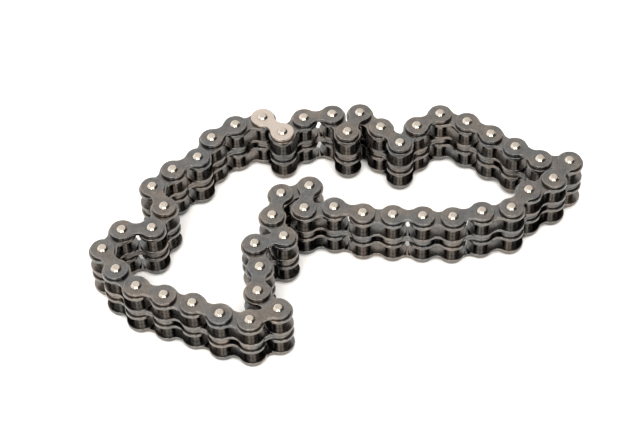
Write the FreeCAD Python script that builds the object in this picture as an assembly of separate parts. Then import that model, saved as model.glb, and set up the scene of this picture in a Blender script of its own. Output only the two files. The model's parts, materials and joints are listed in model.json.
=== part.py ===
import FreeCAD, Part
import math
import os
from FreeCAD import Matrix, Vector

# Double-strand bush chain, joined into an endless loop and lying loosely on its side.
# Outer links (plates on pins) and inner links (plates on bushes) follow each other round the loop.
# Every pin stands upright. The frame's origin is under the middle of the loop, on the surface it lies on.

# ---- Sizes that mate with a sprocket, mm ----
PITCH = 6.35                  # pin centre to pin centre
INNER_WIDTH = 3.18            # clear width between the plates of an inner link
BUSH_DIAMETER = 3.30          # outside of a bush, where the sprocket tooth seats

# ---- Pieces, mm ----
PLATE_THICKNESS = 0.75        # every plate
INNER_PLATE_HEIGHT = PITCH - 0.33    # across the round end of an inner plate: plates in line don't meet
INNER_PLATE_WAIST = 3.70      # across the middle of an inner plate
OUTER_PLATE_HEIGHT = PITCH - 1.14    # across the round end of an outer or middle plate
OUTER_PLATE_WAIST = 2.86      # across the middle of an outer or middle plate
PIN_DIAMETER = 2.31
PIN_STAND_OUT = 0.50          # length of pin end beyond the outer plate
PIN_CHAMFER = 0.30            # bevel round each pin end

# ---- Clearances, mm ----
PIN_CLEARANCE = 0.06          # between pin and bush, all round
SIDE_CLEARANCE = 0.07         # between an inner plate and the plate beside it
MIDDLE_CLEARANCE = 0.08       # between the two middle plates
OPEN_PIN_CLEARANCE = 0.38     # between the slender pin of the joint that closes the loop and its bushes

# Direction of each link, degrees anticlockwise from +X, starting with the connecting link.
# They set how the chain lies. Two more links close the loop, and their directions follow from its ends.
LINK_DIRECTIONS = [
    -47, 40, 7, -60, 62, -46, -51, 51, 32, -25, -39, -39,
    -38, -7, -129, -152, -131, -173, -169, 175, 174, 173, 162, -180,
    79, -163, -108, -68, -164, -81, -94, -49, -156, 163, 152, 158,
    156, 133, 119, 53, 2, 68, 115, 48, 32, 62,
]

# ---- Centre of one strand to centre of the other, mm: two inner plates, two middle plates and the gaps ----
STRAND_PITCH = INNER_WIDTH + 4 * PLATE_THICKNESS + 2 * SIDE_CLEARANCE + MIDDLE_CLEARANCE

# ---- Heights of the pieces above the surface, mm ----
PIN_RADIUS = PIN_DIAMETER / 2
BUSH_RADIUS = BUSH_DIAMETER / 2
BUSH_BORE_RADIUS = PIN_RADIUS + PIN_CLEARANCE
BUSH_LENGTH = INNER_WIDTH + 2 * PLATE_THICKNESS
OUTER_FACE = (STRAND_PITCH + BUSH_LENGTH) / 2 + SIDE_CLEARANCE + PLATE_THICKNESS
MIDDLE_HEIGHT = OUTER_FACE + PIN_STAND_OUT
PIN_LENGTH = 2 * MIDDLE_HEIGHT
STRANDS = {"lower": MIDDLE_HEIGHT - STRAND_PITCH / 2, "upper": MIDDLE_HEIGHT + STRAND_PITCH / 2}
MIDDLE_PLATE_REACH = (STRAND_PITCH - BUSH_LENGTH) / 2 - SIDE_CLEARANCE


def plate(height, waist, hole_radius, bottom):
    """Figure-eight plate: a round end about each pin, joined by two hollow arcs that touch both ends."""
    end = height / 2
    half_waist = waist / 2
    half_pitch = PITCH / 2
    hollow = (half_pitch ** 2 + half_waist ** 2 - end ** 2) / (2 * (end - half_waist))
    centre = half_waist + hollow
    reach = end / (end + hollow)
    x = half_pitch * (1 - reach)
    y = centre * reach
    points = {
        "right": Vector(half_pitch + end, 0, 0),
        "right_top": Vector(x, y, 0),
        "top": Vector(0, half_waist, 0),
        "left_top": Vector(-x, y, 0),
        "left": Vector(-half_pitch - end, 0, 0),
        "left_bottom": Vector(-x, -y, 0),
        "bottom": Vector(0, -half_waist, 0),
        "right_bottom": Vector(x, -y, 0),
    }
    arcs = [
        ("right_bottom", "right", "right_top"),
        ("right_top", "top", "left_top"),
        ("left_top", "left", "left_bottom"),
        ("left_bottom", "bottom", "right_bottom"),
    ]
    edges = [Part.Arc(*[points[name] for name in arc]).toShape() for arc in arcs]
    outline = Part.Face(Part.Wire(edges))
    outline.translate(Vector(half_pitch, 0, bottom))
    solid = outline.extrude(Vector(0, 0, PLATE_THICKNESS))
    for pin_x in (0, PITCH):
        hole = Part.makeCylinder(hole_radius, PLATE_THICKNESS, Vector(pin_x, 0, bottom))
        solid = solid.cut(hole)
    return solid.Solids[0]


def turned(pin_x, profile):
    """Solid of revolution about a pin's axis, from (radius, height) points."""
    points = [Vector(radius, 0, height) for radius, height in profile]
    face = Part.Face(Part.makePolygon(points + points[:1]))
    solid = face.revolve(Vector(0, 0, 0), Vector(0, 0, 1), 360)
    solid.translate(Vector(pin_x, 0, 0))
    return solid.Solids[0]


def pin(pin_x):
    """Plain pin with a bevel at both ends."""
    top = PIN_LENGTH
    tip = PIN_RADIUS - PIN_CHAMFER
    return turned(pin_x, [
        (0, 0), (tip, 0), (PIN_RADIUS, PIN_CHAMFER),
        (PIN_RADIUS, top - PIN_CHAMFER), (tip, top), (0, top),
    ])


def slender_pin(pin_x):
    """Pin of the joint that closes the loop: full size in the plates, slender inside the bushes."""
    solid = pin(pin_x)
    slender = BUSH_BORE_RADIUS - OPEN_PIN_CLEARANCE
    length = BUSH_LENGTH + 2 * SIDE_CLEARANCE
    for height in STRANDS.values():
        low = height - length / 2
        high = height + length / 2
        ring = turned(pin_x, [(slender, low), (PIN_DIAMETER, low), (PIN_DIAMETER, high), (slender, high)])
        solid = solid.cut(ring)
    return solid.Solids[0]


def bush(pin_x, height):
    """Tube pressed into both plates of an inner link, centred at a strand's height."""
    low = height - BUSH_LENGTH / 2
    high = height + BUSH_LENGTH / 2
    return turned(pin_x, [
        (BUSH_BORE_RADIUS, low), (BUSH_RADIUS, low), (BUSH_RADIUS, high), (BUSH_BORE_RADIUS, high),
    ])


def outer_plate(bottom):
    return plate(OUTER_PLATE_HEIGHT, OUTER_PLATE_WAIST, PIN_RADIUS, bottom)


def inner_plates(height):
    """The two plates of an inner link, either side of a strand's height."""
    bottoms = (height - BUSH_LENGTH / 2, height + INNER_WIDTH / 2)
    return [plate(INNER_PLATE_HEIGHT, INNER_PLATE_WAIST, BUSH_RADIUS, bottom) for bottom in bottoms]


def bushes(height):
    return [bush(0, height), bush(PITCH, height)]


def pin_places():
    """Pin centres round the loop, then centred on the origin."""
    places = [Vector(0, 0, 0)]
    for direction in LINK_DIRECTIONS:
        angle = math.radians(direction)
        places.append(places[-1] + Vector(math.cos(angle), math.sin(angle), 0) * PITCH)
    gap = places[0] - places[-1]
    across = Vector(-gap.y, gap.x, 0).normalize()
    rise = math.sqrt(PITCH ** 2 - gap.Length ** 2 / 4)
    places.append((places[0] + places[-1]) * 0.5 + across * rise)
    middle = Vector(
        (min(p.x for p in places) + max(p.x for p in places)) / 2,
        (min(p.y for p in places) + max(p.y for p in places)) / 2,
        0,
    )
    return [place - middle for place in places]


def laid(solids, start, end):
    """Copies of a link's solids, moved from the origin to lie from one pin to the next."""
    move = Matrix()
    move.rotateZ(math.atan2(end.y - start.y, end.x - start.x))
    move.move(start)
    return [solid.transformed(move) for solid in solids]


def save(name, solids):
    Part.makeCompound(solids).exportStep("parts/" + name + ".step")


# Pieces of one link, from its first pin at the origin towards +X
bottom_plate = outer_plate(PIN_STAND_OUT)
lower_middle_plate = outer_plate(MIDDLE_HEIGHT - MIDDLE_PLATE_REACH)
upper_middle_plate = outer_plate(MIDDLE_HEIGHT + MIDDLE_PLATE_REACH - PLATE_THICKNESS)
top_plate = outer_plate(MIDDLE_HEIGHT + OUTER_FACE - PLATE_THICKNESS)

OUTER_LINK = [bottom_plate, lower_middle_plate, upper_middle_plate, top_plate, pin(0), pin(PITCH)]
CONNECTING_LINK = {
    "connecting_bottom_plate": [bottom_plate],
    "connecting_lower_middle_plate": [lower_middle_plate],
    "connecting_upper_middle_plate": [upper_middle_plate],
    "connecting_top_plate": [top_plate],
    "connecting_slender_pin": [slender_pin(0)],
    "connecting_plain_pin": [pin(PITCH)],
}
INNER_PLATES = {strand: inner_plates(height) for strand, height in STRANDS.items()}
INNER_BUSHES = {strand: bushes(height) for strand, height in STRANDS.items()}
INNER_LINK = INNER_PLATES["lower"] + INNER_PLATES["upper"] + INNER_BUSHES["lower"] + INNER_BUSHES["upper"]

os.makedirs("parts", exist_ok=True)
pins = pin_places()
link_count = len(pins)
beside_connecting_link = (2, link_count)

for number in range(1, link_count + 1):
    ends = (pins[number - 1], pins[number % link_count])
    if number == 1:
        for name, solids in CONNECTING_LINK.items():
            save(name, laid(solids, *ends))
    elif number in beside_connecting_link:
        for strand in STRANDS:
            save(f"inner_link_{number:02d}_{strand}_plates", laid(INNER_PLATES[strand], *ends))
            save(f"inner_link_{number:02d}_{strand}_bushes", laid(INNER_BUSHES[strand], *ends))
    elif number % 2:
        save(f"outer_link_{number:02d}", laid(OUTER_LINK, *ends))
    else:
        save(f"inner_link_{number:02d}", laid(INNER_LINK, *ends))
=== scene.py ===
import json
import math

import bpy
import numpy as np
from mathutils import Matrix, Vector


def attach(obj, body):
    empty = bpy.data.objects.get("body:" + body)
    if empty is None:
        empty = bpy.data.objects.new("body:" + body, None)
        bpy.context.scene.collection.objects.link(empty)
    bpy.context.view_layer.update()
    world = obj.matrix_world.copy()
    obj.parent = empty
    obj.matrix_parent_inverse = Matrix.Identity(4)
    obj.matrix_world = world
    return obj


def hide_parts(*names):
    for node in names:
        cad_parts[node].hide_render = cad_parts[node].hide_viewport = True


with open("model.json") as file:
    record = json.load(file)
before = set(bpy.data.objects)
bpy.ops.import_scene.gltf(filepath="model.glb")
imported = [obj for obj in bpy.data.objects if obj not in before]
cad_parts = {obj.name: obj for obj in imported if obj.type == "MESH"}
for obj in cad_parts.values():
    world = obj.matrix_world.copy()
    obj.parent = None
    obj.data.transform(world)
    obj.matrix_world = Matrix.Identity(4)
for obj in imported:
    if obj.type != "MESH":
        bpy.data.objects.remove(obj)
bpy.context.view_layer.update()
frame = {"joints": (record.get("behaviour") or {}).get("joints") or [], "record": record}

# ---- Viewpoint ----
# The chain is looked down on from its front, nearly square to its long side, through a long lens.
VIEW_TURN = math.radians(-0.22)
VIEW_HEIGHT = math.radians(49.39)
VIEW_ROLL = math.radians(-2.25)
VIEW_DISTANCE = 0.3896
VIEW_CENTRE = Vector((-0.00433, 0.00491, 0.00679))

view = bpy.data.cameras.new("view")
view.lens = 101.25
view.sensor_width = 36.0
viewpoint = bpy.data.objects.new("viewpoint", view)
turned = (
    Matrix.Rotation(-VIEW_TURN, 4, "Z")
    @ Matrix.Rotation(math.pi / 2 - VIEW_HEIGHT, 4, "X")
    @ Matrix.Rotation(VIEW_ROLL, 4, "Z")
)
viewpoint.matrix_world = Matrix.Translation(VIEW_CENTRE) @ turned @ Matrix.Translation((0, 0, VIEW_DISTANCE))
bpy.context.scene.collection.objects.link(viewpoint)
bpy.context.scene.camera = viewpoint

# ---- Lie of the chain ----
# 48 links in an endless loop, lying on its side with every pin upright. Link n runs from pin n to pin n + 1,
# and link 48 back to pin 1. Odd links are outer links on pins, and even ones inner links on bushes.
MM = 0.001                    # sizes are in mm from here on, and the frame is in metres
LINKS = 48
CONNECTING_LINK = 1
INNER_LINKS_BESIDE_IT = (2, 48)
INNER_LINKS = range(2, LINKS + 1, 2)
PLAIN_OUTER_LINKS = range(3, LINKS, 2)
STRAND_HEIGHTS = {"lower": 3.66, "upper": 10.06}

pin_places = {joint["name"]: joint["pos_m"][:2] for joint in frame["joints"]}
first_place = next(m["pos_m"][:2] for m in frame["record"]["mounts"] if m["name"] == "rest_face")
pins = np.array([first_place] + [pin_places[f"pivot_{n:02d}"] for n in range(2, LINKS + 1)]) / MM
PITCH = float(np.linalg.norm(pins[1] - pins[0]))


def laid(points, link):
    """Moves points from a link drawn from its first pin at the origin towards +X to where that link lies.

    A point's x is measured along the line from pin to pin, and its y across that line, to the left.
    """
    start, end = pins[link - 1], pins[link % LINKS]
    along = (end - start) / np.linalg.norm(end - start)
    across = np.array([-along[1], along[0]])
    flat = start + points[:, :1] * along + points[:, 1:2] * across
    return np.column_stack([flat, points[:, 2]])


# ---- Bushes ----
# A short steel tube, hardened, ground and oiled nearly black, pressed into both plates of its strand. Each
# inner link has four. The sprocket teeth run on them: this small chain has no rollers.
BUSH_RADIUS = 1.65
BUSH_BORE = 1.215
BUSH_LENGTH = 4.68
BUSH_ROUND = 0.08
BUSH_ROUND_TURN = np.radians([0, 45, 90])
COLUMNS_AROUND = 32
PATTERN_LENGTH = 10           # mm of surface for one unit of a pattern


def ring_faces(rows, columns):
    """Corner numbers of a grid of points that closes on itself both ways, one row after another."""
    row, column = np.meshgrid(np.arange(rows), np.arange(columns), indexing="ij")
    here = row * columns + column
    right = row * columns + (column + 1) % columns
    above = (row + 1) % rows * columns
    return np.stack([here, right, above + (column + 1) % columns, above + column], axis=-1)


def spun(pin_x, profile):
    """A tube: the closed profile of (radius, height) points carried round a pin.

    x is the radius times the cosine of the angle, and y the radius times its sine. U goes from 0 to 1 and
    back with the angle, and V is the length run along the profile.
    """
    radius, height = np.array(profile).T
    run = np.concatenate([[0], np.cumsum(np.hypot(np.diff(radius), np.diff(height)))])
    angle = np.linspace(0, 2 * np.pi, COLUMNS_AROUND, endpoint=False)
    x = pin_x + radius[:, None] * np.cos(angle)
    y = radius[:, None] * np.sin(angle)
    z = np.broadcast_to(height[:, None], x.shape)
    points = np.stack([x, y, z], axis=-1).reshape(-1, 3)
    u = np.broadcast_to(np.abs(angle / np.pi - 1), x.shape)
    v = np.broadcast_to(run[:, None] / PATTERN_LENGTH, x.shape)
    patterns = np.stack([u, v, np.zeros(x.shape)], axis=-1).reshape(-1, 3)
    return points, ring_faces(len(profile), COLUMNS_AROUND).reshape(-1, 4), patterns


def bush(pin_x, height):
    """Bush centred at a height. Its profile is a rectangle whose corners are quarter circles."""
    low, high = height - BUSH_LENGTH / 2, height + BUSH_LENGTH / 2
    rise, inset = BUSH_ROUND * np.sin(BUSH_ROUND_TURN), BUSH_ROUND * (1 - np.cos(BUSH_ROUND_TURN))
    profile = []
    profile += [(BUSH_RADIUS - BUSH_ROUND + r, low + i) for r, i in zip(rise, inset)]
    profile += [(BUSH_RADIUS, height - BUSH_LENGTH / 6), (BUSH_RADIUS, height + BUSH_LENGTH / 6)]
    profile += [(BUSH_RADIUS - i, high - BUSH_ROUND + r) for r, i in zip(rise, inset)]
    profile += [(BUSH_BORE + BUSH_ROUND - r, high - i) for r, i in zip(rise, inset)]
    profile += [(BUSH_BORE + i, low + BUSH_ROUND - r) for r, i in zip(rise, inset)]
    return spun(pin_x, profile)


def made(name, parts, link, material, body, node_name):
    """One object from several closed surfaces, each (points, four-cornered faces, pattern values).

    The pattern values are U, V and an edge value, which on a plate's rounded edge sets rubbed wear and a
    painted highlight. A face whose last two corners are the same is a triangle. A point's normal is the sum
    of the normals of the faces round it, by area, so wide flat faces stay flat.
    """
    counts = np.cumsum([0] + [len(part[0]) for part in parts])
    points = laid(np.concatenate([part[0] for part in parts]), link) * MM
    faces = np.concatenate([part[1] + first for part, first in zip(parts, counts)])
    patterns = np.concatenate([part[2] for part in parts])
    corners = points[faces]
    areas = np.cross(corners[:, 2] - corners[:, 0], corners[:, 3] - corners[:, 1])
    normals = np.zeros_like(points)
    for corner in range(4):
        np.add.at(normals, faces[:, corner], areas)
    normals /= np.linalg.norm(normals, axis=1, keepdims=True)

    real = np.ones(faces.shape, dtype=bool)
    real[:, 3] = faces[:, 3] != faces[:, 2]
    sides = real.sum(axis=1)
    mesh = bpy.data.meshes.new(name)
    mesh.vertices.add(len(points))
    mesh.vertices.foreach_set("co", points.ravel())
    mesh.loops.add(int(sides.sum()))
    mesh.loops.foreach_set("vertex_index", faces[real])
    mesh.polygons.add(len(faces))
    mesh.polygons.foreach_set("loop_start", np.cumsum(sides) - sides)
    mesh.polygons.foreach_set("use_smooth", np.ones(len(faces), dtype=bool))
    mesh.update(calc_edges=True)
    lay = mesh.uv_layers.new(name="lay")
    lay.uv.foreach_set("vector", patterns[faces[real], :2].ravel())
    wear = mesh.attributes.new("wear", "FLOAT", "POINT")
    wear.data.foreach_set("value", patterns[:, 2])
    mesh.validate()
    mesh.normals_split_custom_set_from_vertices(normals.tolist())
    mesh.materials.append(material)
    piece = bpy.data.objects.new(name, mesh)
    bpy.context.scene.collection.objects.link(piece)
    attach(piece, body)
    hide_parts(node_name)


def metal_finish(name):
    """A new metal finish: its material, a function that adds a node, and one that joins it to the shader.

    An input of an added node is given by its name, or by n and its number.
    """
    finish = bpy.data.materials.new(name)
    finish.use_nodes = True
    tree = finish.node_tree
    shader = tree.nodes["Principled BSDF"]
    shader.inputs["Metallic"].default_value = 1.0

    def node(kind, settings=None, **inputs):
        added = tree.nodes.new("ShaderNode" + kind)
        for setting, value in (settings or {}).items():
            setattr(added, setting, value)
        for socket, value in inputs.items():
            where = added.inputs[int(socket[1:])] if socket[0] == "n" else added.inputs[socket]
            if isinstance(value, bpy.types.NodeSocket):
                tree.links.new(value, where)
            else:
                where.default_value = value
        return added

    def join(socket, output):
        tree.links.new(output, shader.inputs[socket])

    return finish, node, join


def noise(node, where, scale, detail, roughness=0.5, flat=False):
    """Noise from 0 to 1 in space, or on a flat lay."""
    dimensions = {"noise_dimensions": "2D" if flat else "3D"}
    added = node("TexNoise", dimensions, Vector=where, Scale=scale, Detail=detail, Roughness=roughness)
    return added.outputs["Fac"]


def ramp(node, factor, stops):
    """Colour ramp from two or more (place, value or colour) stops."""
    added = node("ValToRGB", n0=factor)
    points = added.color_ramp.elements
    while len(points) < len(stops):
        points.new(1.0)
    for point, (place, value) in zip(points, stops):
        point.position = place
        point.color = (value, value, value, 1) if isinstance(value, float) else (*value, 1)
    return added.outputs["Color"]


def shaded(node, colour, shade):
    """A colour multiplied by a shade."""
    settings = {"data_type": "RGBA", "blend_type": "MULTIPLY"}
    return node("Mix", settings, n0=1.0, n6=colour, n7=shade).outputs[2]


def stretched(node, pattern, low, high, to_low, to_high):
    """A value that goes from to_low to to_high while the pattern goes from low to high."""
    return node("MapRange", n0=pattern, n1=low, n2=high, n3=to_low, n4=to_high).outputs[0]


def relief(node, pattern, strength):
    """Normals of a surface 0.01 mm deep that follows the pattern."""
    return node("Bump", Strength=strength, Distance=0.00001, Height=pattern).outputs["Normal"]


# Ground and polished across the axis, so faint rings go round it. Oil leaves it brown-black.
bush_steel, node, join = metal_finish("polished_bush_steel")
lay = node("UVMap", {"uv_map": "lay"}).outputs["UV"]
place = node("TexCoord").outputs["Object"]
around = node("VectorMath", {"operation": "MULTIPLY"}, n0=lay, n1=(1.5, 260.0, 1.0)).outputs[0]
rings = noise(node, around, 1.0, 3.0, 0.6, flat=True)
clouds = noise(node, place, 420.0, 2.0)
oil = ramp(node, clouds, [(0.3, (0.165, 0.156, 0.146)), (0.7, (0.215, 0.201, 0.187))])
join("Base Color", shaded(node, oil, ramp(node, rings, [(0.25, 0.75), (0.75, 1.2)])))
join("Roughness", stretched(node, rings, 0.25, 0.75, 0.12, 0.2))
join("Normal", relief(node, rings, 0.12))

for link in INNER_LINKS:
    body = f"inner_link_{link:02d}"
    pairs = {strand: [bush(0, height), bush(PITCH, height)] for strand, height in STRAND_HEIGHTS.items()}
    if link in INNER_LINKS_BESIDE_IT:
        for strand, pair in pairs.items():
            name = f"{strand}_bushes_{link:02d}"
            made(name, pair, link, bush_steel, body, f"{body}_{strand}_bushes")
    else:
        both = pairs["lower"] + pairs["upper"]
        made(f"bushes_{link:02d}", both, link, bush_steel, body, body)

# ---- Inner plates ----
# Figure-eight plates punched from strip, tumbled so that their edges are soft, blackened and oiled. Two are
# pressed onto the ends of each pair of bushes.
PLATE_THICKNESS = 0.75
PLATE_ROUND = 0.11
PLATE_RIM = 0.45              # from the outline in to where the flat face is divided
HOLE_ROUND = 0.04
INNER_PLATE_HEIGHT = 6.02
INNER_PLATE_WAIST = 3.70
MIDLINE_POINTS = 5            # across the line midway between the pins
HOLLOW_POINTS = 6             # along a hollow arc, both ends included
ROUND_END_POINTS = 29         # round an end
EDGE_TURN = np.radians([0, 30, 60, 90])
# Place along a plate's edge, from the top face round to the side wall. The rounding is painted lighter by it:
# partly rubbed wear, partly a painted highlight.
EDGE_WEAR_AND_SHEEN = (0.2, 0.45, 0.7, 1.0)


def half_outline(height, waist, inset):
    """Closed line round the half of a figure-eight plate about its first pin, offset inwards by the inset.

    It goes up the line midway between the pins, along the hollow arc (a circle outside the waist that touches
    the round end), round the end, and back along the lower hollow arc. An offset changes only the radii.
    """
    end, half_waist, half_pitch = height / 2, waist / 2, PITCH / 2
    hollow = (half_pitch**2 + half_waist**2 - end**2) / (2 * (end - half_waist))
    centre = half_waist + hollow
    touch = math.atan2(centre, half_pitch)
    middle = np.linspace(-1, 1, MIDLINE_POINTS) * (half_waist - inset)
    arc = np.linspace(0, math.pi / 2 - touch, HOLLOW_POINTS)[1:-1]
    round_end = np.linspace(touch, 2 * math.pi - touch, ROUND_END_POINTS)
    x = np.concatenate([
        np.full(MIDLINE_POINTS, half_pitch),
        half_pitch - (hollow + inset) * np.sin(arc),
        (end - inset) * np.cos(round_end),
        half_pitch - (hollow + inset) * np.sin(arc[::-1]),
    ])
    y = np.concatenate([
        middle,
        centre - (hollow + inset) * np.cos(arc),
        (end - inset) * np.sin(round_end),
        (hollow + inset) * np.cos(arc[::-1]) - centre,
    ])
    return np.column_stack([x, y])


def plate(height, waist, hole, bottom):
    """Figure-eight plate with two holes and rounded edges.

    Each half is a grid: one parameter goes round its pin, the other goes up the hole's wall, out over the top
    face, over the rounded edge, down the side and back in under the plate. The second half is the first one
    turned by half a turn about the middle, and points that fall together are made one.
    """
    top = bottom + PLATE_THICKNESS
    drop, inset = PLATE_ROUND * (1 - np.cos(EDGE_TURN)), PLATE_ROUND * (1 - np.sin(EDGE_TURN))
    rim = half_outline(height, waist, PLATE_RIM)
    ray = rim / np.linalg.norm(rim, axis=1, keepdims=True)
    edge = [(half_outline(height, waist, i), d, w) for d, i, w in zip(drop, inset, EDGE_WEAR_AND_SHEEN)]
    inner_rows = [
        (ray * hole, bottom + HOLE_ROUND, 0),
        (ray * hole, top - HOLE_ROUND, 0),
        (ray * (hole + HOLE_ROUND), top, 0),
        (rim, top, 0),
    ]
    upper_edge = [(line, top - d, wear) for line, d, wear in edge]
    lower_edge = [(line, bottom + d, wear) for line, d, wear in edge[::-1]]
    under_rows = [(rim, bottom, 0), (ray * (hole + HOLE_ROUND), bottom, 0)]
    lines, heights, wear_and_sheen_values = zip(*(inner_rows + upper_edge + lower_edge + under_rows))

    lines = np.stack(lines)
    z = np.broadcast_to(np.array(heights)[:, None], lines.shape[:2])
    wear = np.broadcast_to(np.array(wear_and_sheen_values)[:, None], lines.shape[:2])
    half = np.concatenate([lines, z[..., None]], axis=-1).reshape(-1, 3)
    faces = ring_faces(len(lines), len(rim))

    # The two halves are open to each other along the line midway between the pins, from rim to rim.
    last_inner_row = len(inner_rows) - 1
    open_rows = slice(last_inner_row, last_inner_row + len(upper_edge) + len(lower_edge) + 1)
    keep = np.ones(faces.shape[:2], dtype=bool)
    keep[open_rows, 0:MIDLINE_POINTS - 1] = False
    faces = faces[keep]

    other = half * [-1, -1, 1] + [PITCH, 0, 0]
    points = np.concatenate([half, other])
    faces = np.concatenate([faces, faces + len(half)])
    wear = np.tile(wear.reshape(-1), 2)
    _, first, same = np.unique(np.round(points, 5), axis=0, return_index=True, return_inverse=True)
    used, faces = np.unique(same.reshape(-1)[faces], return_inverse=True)
    points, wear = points[first][used], wear[first][used]
    patterns = np.column_stack([points[:, :2] / PATTERN_LENGTH, wear])
    return points, faces.reshape(-1, 4)[:, ::-1], patterns


# Heat-blackened and oiled: brown where the oxide is thin and grey where it is thick, stained, with a fine
# grain. The rounded edges are painted lighter, partly rubbed wear and partly a painted highlight.
blackened, node, join = metal_finish("blackened_plate_steel")
place = node("TexCoord").outputs["Object"]
wear = node("Attribute", {"attribute_name": "wear"}).outputs["Fac"]
patches = noise(node, place, 190.0, 2.0)
grain = noise(node, place, 4200.0, 3.0, 0.7)
stains = noise(node, place, 620.0, 3.0, 0.6)
oxide = ramp(node, patches, [(0.36, (0.165, 0.166, 0.164)), (0.64, (0.225, 0.196, 0.173))])
grained = shaded(node, oxide, ramp(node, grain, [(0.3, 0.72), (0.7, 1.26)]))
stained = shaded(node, grained, ramp(node, stains, [(0.35, 0.86), (0.65, 1.12)]))
# Rounded edges lighter than the faces and side walls: rubbed wear and a painted highlight.
rubbed_and_sheen = ramp(node, wear, [(0.0, 0.8), (0.3, 1.1), (0.5, 1.3), (0.75, 1.0), (1.0, 0.8)])
join("Base Color", shaded(node, stained, rubbed_and_sheen))
join("Roughness", stretched(node, grain, 0.3, 0.7, 0.26, 0.18))
join("Normal", relief(node, grain, 0.15))


def inner_plates(height):
    """The two plates of an inner link, either side of a strand's height, flush with its bushes' ends."""
    low, high = height - BUSH_LENGTH / 2, height + BUSH_LENGTH / 2 - PLATE_THICKNESS
    return [plate(INNER_PLATE_HEIGHT, INNER_PLATE_WAIST, BUSH_RADIUS, bottom) for bottom in (low, high)]


for link in INNER_LINKS:
    body = f"inner_link_{link:02d}"
    pairs = {strand: inner_plates(height) for strand, height in STRAND_HEIGHTS.items()}
    if link in INNER_LINKS_BESIDE_IT:
        for strand, pair in pairs.items():
            name = f"{strand}_plates_{link:02d}"
            made(name, pair, link, blackened, body, f"{body}_{strand}_plates")
    else:
        both = pairs["lower"] + pairs["upper"]
        made(f"plates_{link:02d}", both, link, blackened, body, body)

# ---- Pins ----
# Hardened, ground pins through both strands, pressed into the four plates of their outer link. Their bevelled
# ends stand out of the plates, bright.
PIN_RADIUS = 1.155
PIN_LENGTH = 13.72
PIN_END = [(1.155, 0.46), (1.10, 0.36), (0.84, 0.09), (0.79, 0.06), (0.62, 0.006), (0.56, 0.0), (0.0, 0.0)]
LOWER_END = [(radius, depth) for radius, depth in PIN_END[::-1]]
UPPER_END = [(radius, PIN_LENGTH - depth) for radius, depth in PIN_END]


def rod(pin_x, profile):
    """A closed rod: the profile of (radius, height) points, from centre to centre, carried round a pin.

    Each end's flat is a fan of triangles about a centre point. V is the length run from the rim of the nearer
    flat, and is below zero on the flat.
    """
    points, faces, patterns = spun(pin_x, profile[1:-1])
    run = patterns[:, 1]
    patterns[:, 1] = np.minimum(run, run.max() - run)
    faces = faces.reshape(-1, COLUMNS_AROUND, 4)[:-1].reshape(-1, 4)
    first = np.arange(COLUMNS_AROUND)
    after = (first + 1) % COLUMNS_AROUND
    last = len(points) - COLUMNS_AROUND
    low = np.full(COLUMNS_AROUND, len(points))
    high = low + 1
    low_end = np.stack([after, first, low, low], axis=-1)
    high_end = np.stack([last + first, last + after, high, high], axis=-1)
    centres = np.array([[pin_x, 0, profile[0][1]], [pin_x, 0, profile[-1][1]]])
    flats = (profile[1][0], profile[-2][0])
    centre_patterns = np.array([[0.5, -flat / PATTERN_LENGTH, 0] for flat in flats])
    faces = np.concatenate([faces, low_end, high_end])
    return np.concatenate([points, centres]), faces, np.concatenate([patterns, centre_patterns])


def pin(pin_x):
    """Pin with bevelled ends: a flat centre, a gentle slope round it, then the bevel, given in PIN_END."""
    return rod(pin_x, LOWER_END + [(PIN_RADIUS, PIN_LENGTH / 2)] + UPPER_END)


# Ground bright. The ends keep faint rings from turning, and their flats are duller.
pin_steel, node, join = metal_finish("bright_pin_steel")
lay = node("UVMap", {"uv_map": "lay"}).outputs["UV"]
place = node("TexCoord").outputs["Object"]
around = node("VectorMath", {"operation": "MULTIPLY"}, n0=lay, n1=(2.0, 180.0, 1.0)).outputs[0]
rings = noise(node, around, 1.0, 3.0, 0.6, flat=True)
grain = noise(node, place, 3600.0, 3.0, 0.7)
steel = ramp(node, grain, [(0.3, (0.58, 0.51, 0.43)), (0.7, (0.78, 0.70, 0.61))])
ringed = shaded(node, steel, ramp(node, rings, [(0.25, 0.86), (0.75, 1.0)]))
off_the_flat = stretched(node, node("SeparateXYZ", n0=lay).outputs["Y"], 0.003, 0.009, 0.0, 1.0)
join("Base Color", shaded(node, ringed, ramp(node, off_the_flat, [(0.0, 0.74), (1.0, 1.0)])))
join("Roughness", stretched(node, grain, 0.3, 0.7, 0.2, 0.12))
join("Normal", relief(node, rings, 0.3))

for link in PLAIN_OUTER_LINKS:
    body = f"outer_link_{link:02d}"
    made(f"pins_{link:02d}", [pin(0), pin(PITCH)], link, pin_steel, body, body)

# ---- Outer and middle plates ----
# Figure-eight plates of the same strip, a little smaller, pressed onto the pins: one at each face of the
# chain and two side by side between the strands.
OUTER_PLATE_HEIGHT = 5.21
OUTER_PLATE_WAIST = 2.86
OUTER_PLATE_BOTTOMS = {"bottom": 0.50, "lower_middle": 6.07, "upper_middle": 6.90, "top": 12.47}


def outer_plate(bottom):
    """Plate of an outer link, whose holes fit the pins."""
    return plate(OUTER_PLATE_HEIGHT, OUTER_PLATE_WAIST, PIN_RADIUS, bottom)


for link in PLAIN_OUTER_LINKS:
    body = f"outer_link_{link:02d}"
    stack = [outer_plate(bottom) for bottom in OUTER_PLATE_BOTTOMS.values()]
    made(f"plates_{link:02d}", stack, link, blackened, body, body)

# ---- Connecting link ----
# The outer link that closes the loop. Its top plate is nickel plated, satin and bright. One of its pins is
# slender inside the bushes, so that the loop can be closed there.
SLENDER_RADIUS = 0.835
SIDE_GAP = 0.07               # between an inner plate and the plate beside it
SLENDER_LENGTH = BUSH_LENGTH + 2 * SIDE_GAP


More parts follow.
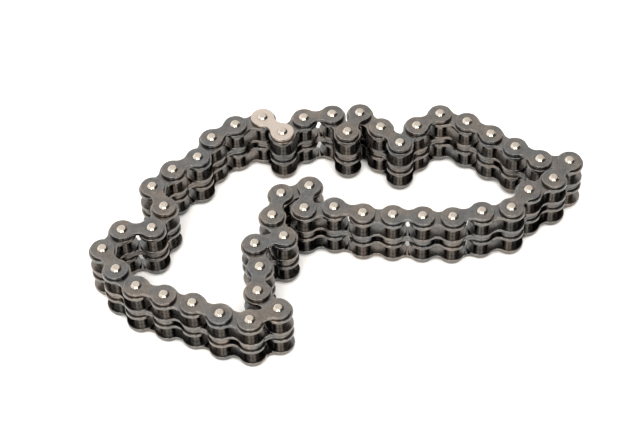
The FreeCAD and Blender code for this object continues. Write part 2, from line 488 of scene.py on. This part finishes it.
def slender_pin(pin_x):
    """A pin that steps in to the slender radius where it runs inside the bushes of each strand."""
    steps = []
    for height in STRAND_HEIGHTS.values():
        low, high = height - SLENDER_LENGTH / 2, height + SLENDER_LENGTH / 2
        steps += [(PIN_RADIUS, low), (SLENDER_RADIUS, low), (SLENDER_RADIUS, high), (PIN_RADIUS, high)]
    return rod(pin_x, LOWER_END + steps + UPPER_END)


# Brushed along its length before plating, with a fine grain.
bright, node, join = metal_finish("satin_nickel_plate")
lay = node("UVMap", {"uv_map": "lay"}).outputs["UV"]
place = node("TexCoord").outputs["Object"]
along = node("VectorMath", {"operation": "MULTIPLY"}, n0=lay, n1=(14.0, 60.0, 1.0)).outputs[0]
brushing = noise(node, along, 1.0, 4.0, 0.7, flat=True)
grain = noise(node, place, 4200.0, 3.0, 0.7)
nickel = ramp(node, brushing, [(0.3, (0.53, 0.455, 0.395)), (0.7, (0.63, 0.55, 0.485))])
join("Base Color", shaded(node, nickel, ramp(node, grain, [(0.3, 0.88), (0.7, 1.0)])))
join("Roughness", stretched(node, grain, 0.3, 0.7, 0.42, 0.3))
join("Normal", relief(node, grain, 0.2))

body = "connecting_link"
for level, bottom in OUTER_PLATE_BOTTOMS.items():
    finish, slot = (bright, "bright_plate") if level == "top" else (blackened, "blackened_steel")
    name = f"{level}_plate_01"
    made(name, [outer_plate(bottom)], CONNECTING_LINK, finish, body, f"connecting_{level}_plate")
for name, shape in {"slender_pin": slender_pin(0), "plain_pin": pin(PITCH)}.items():
    made(f"{name}_01", [shape], CONNECTING_LINK, pin_steel, body, f"connecting_{name}")

# ---- Floor and light ----
# A plain white table in a soft white room, brighter at the back and left. Two soft lamps stand at the front,
# and a third lights the table from above without being mirrored in the steel.
TABLE_REACH = 3.0
corners = [(-TABLE_REACH, -TABLE_REACH, 0), (TABLE_REACH, -TABLE_REACH, 0)]
corners += [(TABLE_REACH, TABLE_REACH, 0), (-TABLE_REACH, TABLE_REACH, 0)]
floor_mesh = bpy.data.meshes.new("floor")
floor_mesh.from_pydata(corners, [], [(0, 1, 2, 3)])
floor = bpy.data.objects.new("floor", floor_mesh)
bpy.context.scene.collection.objects.link(floor)
table_white = bpy.data.materials.new("white_table")
table_white.use_nodes = True
shader = table_white.node_tree.nodes["Principled BSDF"]
shader.inputs["Base Color"].default_value = (0.95, 0.94, 0.93, 1)
shader.inputs["Roughness"].default_value = 0.8
shader.inputs["Specular IOR Level"].default_value = 0.2
floor_mesh.materials.append(table_white)

BRIGHT_SIDE = Vector((-0.55, 0.35, 0.75)).normalized()
ROOM_LIGHT = (-0.05, 0.8, 0.06, 1.4)    # from facing, to facing, dimmest, brightest
room = bpy.data.worlds.new("white_room")
room.use_nodes = True
sky = room.node_tree.nodes
way = sky.new("ShaderNodeTexCoord")
facing = sky.new("ShaderNodeVectorMath")
facing.operation = "DOT_PRODUCT"
facing.inputs[1].default_value = BRIGHT_SIDE
brightness = sky.new("ShaderNodeMapRange")
for socket, value in enumerate(ROOM_LIGHT, start=1):
    brightness.inputs[socket].default_value = value
room.node_tree.links.new(way.outputs["Generated"], facing.inputs[0])
room.node_tree.links.new(facing.outputs["Value"], brightness.inputs[0])
room.node_tree.links.new(brightness.outputs[0], sky["Background"].inputs["Strength"])
sky["Background"].inputs["Color"].default_value = (1, 0.985, 0.965, 1)
bpy.context.scene.world = room


def soft_lamp(name, place, width, height, power, colour, mirrored=True):
    """Large area lamp that faces the middle of the chain and isn't seen itself."""
    lamp = bpy.data.lights.new(name, "AREA")
    lamp.shape = "RECTANGLE"
    lamp.size, lamp.size_y = width, height
    lamp.energy = power
    lamp.color = colour
    holder = bpy.data.objects.new(name, lamp)
    aim = (Vector((0, 0, 0)) - Vector(place)).to_track_quat("-Z", "Y")
    holder.matrix_world = Matrix.Translation(place) @ aim.to_matrix().to_4x4()
    holder.visible_camera = False
    holder.visible_glossy = mirrored
    bpy.context.scene.collection.objects.link(holder)


soft_lamp("front_left_lamp", (-0.23, -0.55, 0.60), 0.30, 0.5, 2.4, (1, 0.985, 0.95))
soft_lamp("front_right_lamp", (0.22, -0.55, 0.60), 0.28, 0.5, 2.1, (1, 0.985, 0.95))
soft_lamp("overhead_fill", (0.05, -0.40, 0.85), 0.9, 0.6, 8.0, (1, 0.97, 0.93), mirrored=False)

bpy.context.scene.view_settings.view_transform = "Standard"
bpy.context.scene.view_settings.look = "None"
